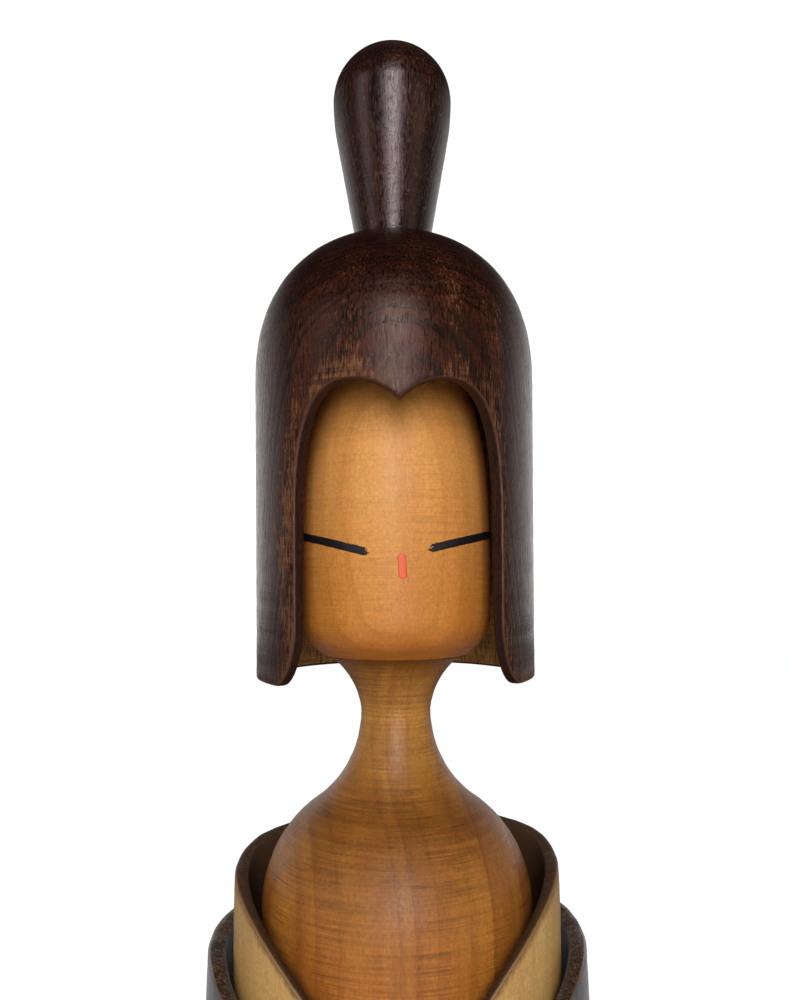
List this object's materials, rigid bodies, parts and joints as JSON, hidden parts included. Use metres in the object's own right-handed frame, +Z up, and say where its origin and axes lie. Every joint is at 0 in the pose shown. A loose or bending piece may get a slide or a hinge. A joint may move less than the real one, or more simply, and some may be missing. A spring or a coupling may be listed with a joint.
{
  "type": "kokeshi doll",
  "caption": "Turned wooden kokeshi doll: a round topknot on an open hair hood around a painted face, a waisted neck, and nested V-neck collars on a barrel body.",
  "frame": {"origin": "centre of the flat base, on the surface that the doll stands on", "axes": "+Z up along the doll's turning axis, -Y out of the face, +X to the right of a viewer who looks at the face"},
  "size_m": [0.0918, 0.0918, 0.4175],
  "materials": {
    "kimono_wood": "dark grey-brown stained wood, waxed",
    "collar_wood": "pale wood, bare and waxed",
    "bust_wood": "orange-brown stained wood, waxed",
    "peg_wood": "bare dowel",
    "face_wood": "honey-tan wood, waxed",
    "hair_wood": "very dark stained wood, polished",
    "black_paint": "brushed black ink",
    "red_paint": "brushed red paint"
  },
  "bodies": {
    "doll_body": {"kimono_body": "kimono_wood", "inner_collar": "collar_wood", "bust": "bust_wood", "neck_peg": "peg_wood"},
    "doll_head": {"head": "face_wood", "hair_hood": "hair_wood", "topknot": "hair_wood", "left_eye": "black_paint", "right_eye": "black_paint", "mouth": "red_paint"}
  },
  "joints": [
    {"name": "head_turn", "type": "hinge", "parent": "doll_body", "child": "doll_head", "pos_m": [0, 0, 0.2614], "axis": [0, 0, 1], "continuous": true}
  ]
}
